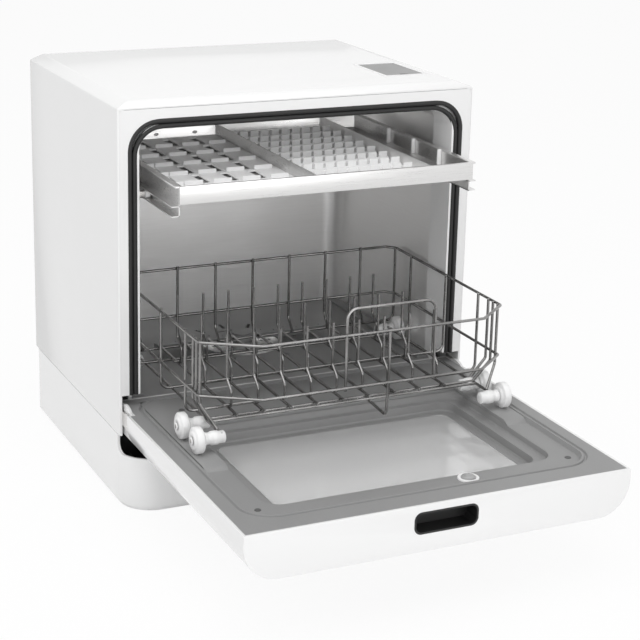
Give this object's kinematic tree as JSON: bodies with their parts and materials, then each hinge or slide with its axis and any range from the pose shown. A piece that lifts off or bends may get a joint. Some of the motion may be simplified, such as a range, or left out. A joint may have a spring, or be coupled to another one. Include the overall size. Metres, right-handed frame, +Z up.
{
  "type": "countertop dishwasher",
  "caption": "Compact countertop dishwasher with a drop-down windowed door, a wheeled wire basket, a pull-out cutlery tray and a top filling flap.",
  "frame": {"origin": "on the worktop, under the middle of the front edge of the cabinet", "axes": "+X to the right as seen by the user, +Y back into the cabinet, +Z up"},
  "size_m": [0.42, 0.685, 0.448],
  "materials": {
    "white_enamel": "gloss",
    "white_shell": "gloss",
    "white_plastic": "satin",
    "black_plastic": "satin",
    "rubber": "matte",
    "pale_plastic": "satin",
    "steel": "brushed",
    "grey_plastic": "satin",
    "fittings": "satin",
    "pumps": "matte",
    "window_glass": "polished",
    "wire": "polished"
  },
  "bodies": {
    "cabinet": {"outer_casing": "white_enamel", "back_panel": "white_enamel", "base_tray": "white_shell", "hinge_bay_liner": "black_plastic", "front_bezel": "white_shell", "door_gasket": "rubber", "tub_front_frame": "pale_plastic", "tub_shell": "steel", "tub_floor": "grey_plastic", "sump": "grey_plastic", "sump_filter": "steel", "spray_hub": "grey_plastic", "tray_roller_brackets": "fittings", "hinge_pins": "fittings", "fill_port_frame": "pale_plastic", "water_tank": "pale_plastic", "wash_pump": "pumps", "drain_pump": "pumps", "water_heater": "fittings", "rear_connectors": "pumps", "feet": "rubber", "casing_screws": "fittings"},
    "door": {"door_outer_shell": "white_shell", "door_liner": "grey_plastic", "window_inner_pane": "window_glass", "window_outer_pane": "window_glass", "handle_insert": "black_plastic", "control_panel": "black_plastic", "hinge_arms": "white_plastic", "liner_screws": "fittings", "vent_cap": "white_plastic"},
    "basket": {"basket_floor": "wire", "basket_left_side": "wire", "basket_right_side": "wire", "basket_front": "wire", "basket_back": "wire", "tines_front": "wire", "tines_middle": "wire", "tines_back": "wire", "basket_handle": "wire", "wheel_mounts": "white_plastic"},
    "tray": {"tray_frame": "grey_plastic", "tray_rib_insert": "white_plastic", "tray_comb_insert": "white_plastic", "tray_partitions": "white_plastic", "tray_runners": "fittings"},
    "roller_left_front": {"roller_left_front": "white_plastic"},
    "roller_left_rear": {"roller_left_rear": "white_plastic"},
    "roller_right_front": {"roller_right_front": "white_plastic"},
    "roller_right_rear": {"roller_right_rear": "white_plastic"},
    "second_wheel_left": {"second_wheel_left": "white_plastic"},
    "second_wheel_right": {"second_wheel_right": "white_plastic"},
    "rear_wheel_left": {"rear_wheel_left": "white_plastic"},
    "rear_wheel_right": {"rear_wheel_right": "white_plastic"},
    "spray_arm": {"spray_arm": "grey_plastic"},
    "fill_flap": {"fill_flap": "grey_plastic"},
    "front_wheel_pair": {"front_wheels": "white_plastic"}
  },
  "joints": [
    {"name": "door_hinge", "type": "hinge", "parent": "cabinet", "child": "door", "pos_m": [0, -0.0135, 0.103], "axis": [-1, 0, 0], "range_deg": [0, 90]},
    {"name": "basket_roll", "type": "slide", "parent": "door", "child": "front_wheel_pair", "axis": [0, 1, 0], "range_m": [0, 0.10951]},
    {"name": "basket_level", "type": "hinge", "parent": "front_wheel_pair", "child": "basket", "pos_m": [0, -0.1493, 0.1293], "axis": [1, 0, 0], "range_deg": [0, 90]},
    {"name": "tray_slide", "type": "slide", "parent": "cabinet", "child": "tray", "axis": [0, 1, 0], "range_m": [0, 0.07801]},
    {"name": "spray_arm_spin", "type": "hinge", "parent": "cabinet", "child": "spray_arm", "pos_m": [0, 0.165, 0.12], "axis": [0, 0, 1], "continuous": true},
    {"name": "fill_flap_hinge", "type": "hinge", "parent": "cabinet", "child": "fill_flap", "pos_m": [0.1575, 0.1376, 0.4454], "axis": [-1, 0, 0], "range_deg": [0, 95]},
    {"name": "roller_left_front_spin", "type": "hinge", "parent": "cabinet", "child": "roller_left_front", "pos_m": [-0.1736, 0.012, 0.347], "axis": [1, 0, 0], "continuous": true},
    {"name": "roller_left_rear_spin", "type": "hinge", "parent": "cabinet", "child": "roller_left_rear", "pos_m": [-0.1736, 0.034, 0.347], "axis": [1, 0, 0], "continuous": true},
    {"name": "second_wheel_left_spin", "type": "hinge", "parent": "basket", "child": "second_wheel_left", "pos_m": [-0.178, -0.106, 0.1293], "axis": [1, 0, 0], "continuous": true},
    {"name": "rear_wheel_left_spin", "type": "hinge", "parent": "basket", "child": "rear_wheel_left", "pos_m": [-0.178, 0.1, 0.1293], "axis": [1, 0, 0], "continuous": true},
    {"name": "roller_right_front_spin", "type": "hinge", "parent": "cabinet", "child": "roller_right_front", "pos_m": [0.1736, 0.012, 0.347], "axis": [1, 0, 0], "continuous": true},
    {"name": "roller_right_rear_spin", "type": "hinge", "parent": "cabinet", "child": "roller_right_rear", "pos_m": [0.1736, 0.034, 0.347], "axis": [1, 0, 0], "continuous": true},
    {"name": "second_wheel_right_spin", "type": "hinge", "parent": "basket", "child": "second_wheel_right", "pos_m": [0.178, -0.106, 0.1293], "axis": [1, 0, 0], "continuous": true},
    {"name": "rear_wheel_right_spin", "type": "hinge", "parent": "basket", "child": "rear_wheel_right", "pos_m": [0.178, 0.1, 0.1293], "axis": [1, 0, 0], "continuous": true}
  ],
  "couplings": [
    {"joint": "basket_roll", "follows": "door_hinge", "m_per_rad": 0.06971},
    {"joint": "basket_level", "follows": "door_hinge", "ratio": 1},
    {"joint": "tray_slide", "follows": "door_hinge", "m_per_rad": 0.049656}
  ]
}
